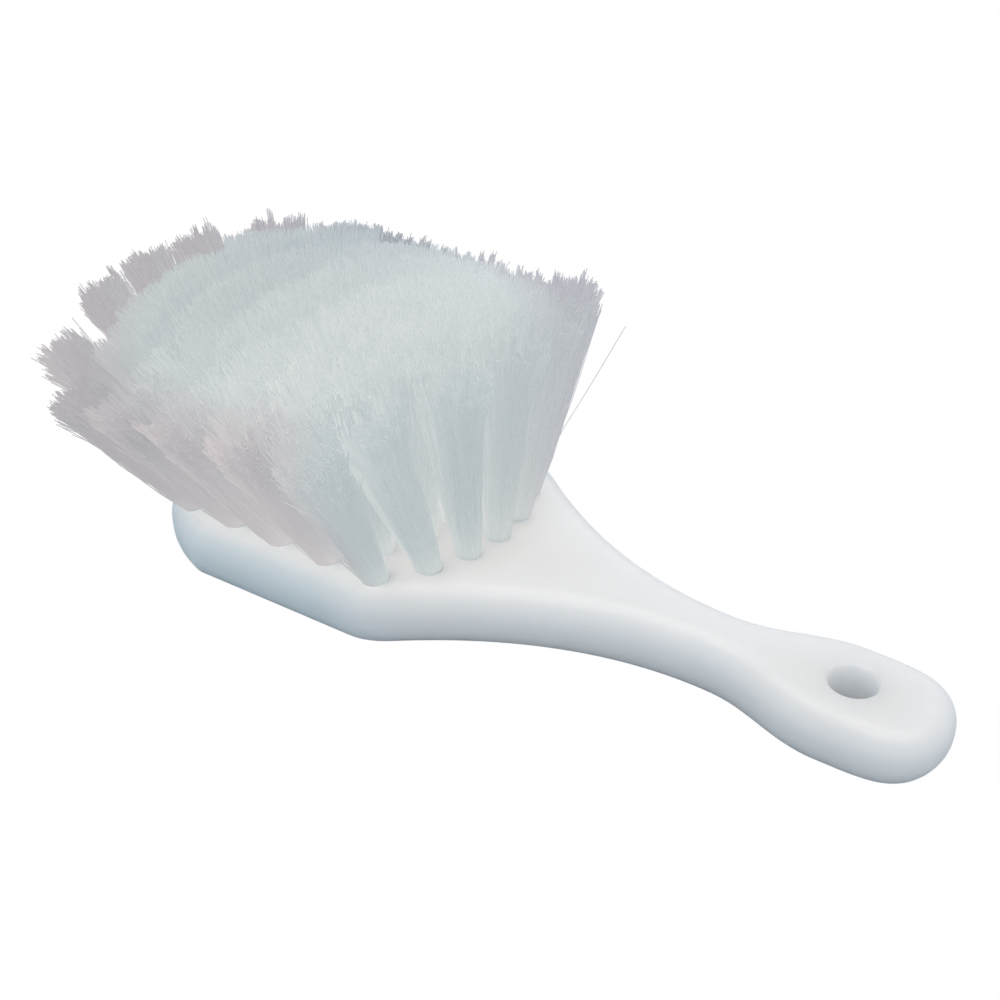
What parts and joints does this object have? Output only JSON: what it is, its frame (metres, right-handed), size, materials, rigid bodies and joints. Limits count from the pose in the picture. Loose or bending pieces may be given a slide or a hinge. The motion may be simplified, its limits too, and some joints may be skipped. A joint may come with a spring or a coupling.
{
  "type": "utility brush",
  "caption": "White paddle-shaped utility brush: rounded moulded block with fanned tufts of filament, tapering to a short handle with a hanging hole.",
  "frame": {"origin": "on the flat back of the head, under the middle of the tuft field", "axes": "+X along the brush from the head towards the end of the handle, +Z out of the tufted face, so the brush lies on its back"},
  "size_m": [0.2304, 0.13, 0.0711],
  "materials": {
    "block_plastic": "satin",
    "filament": "satin"
  },
  "bodies": {
    "root": {"handle_block": "block_plastic", "tuft_0_0": "filament", "tuft_0_1": "filament", "tuft_0_2": "filament", "tuft_0_3": "filament", "tuft_0_4": "filament", "tuft_1_0": "filament", "tuft_1_1": "filament", "tuft_1_2": "filament", "tuft_1_3": "filament", "tuft_1_4": "filament", "tuft_1_5": "filament", "tuft_2_0": "filament", "tuft_2_1": "filament", "tuft_2_2": "filament", "tuft_2_3": "filament", "tuft_2_4": "filament", "tuft_2_5": "filament", "tuft_2_6": "filament", "tuft_3_0": "filament", "tuft_3_1": "filament", "tuft_3_2": "filament", "tuft_3_3": "filament", "tuft_3_4": "filament", "tuft_3_5": "filament", "tuft_3_6": "filament", "tuft_4_0": "filament", "tuft_4_1": "filament", "tuft_4_2": "filament", "tuft_4_3": "filament", "tuft_4_4": "filament", "tuft_4_5": "filament", "tuft_4_6": "filament", "tuft_5_0": "filament", "tuft_5_1": "filament", "tuft_5_2": "filament", "tuft_5_3": "filament", "tuft_5_4": "filament", "tuft_5_5": "filament", "tuft_6_0": "filament", "tuft_6_1": "filament", "tuft_6_2": "filament", "tuft_6_3": "filament", "tuft_6_4": "filament"}
  },
  "joints": []
}
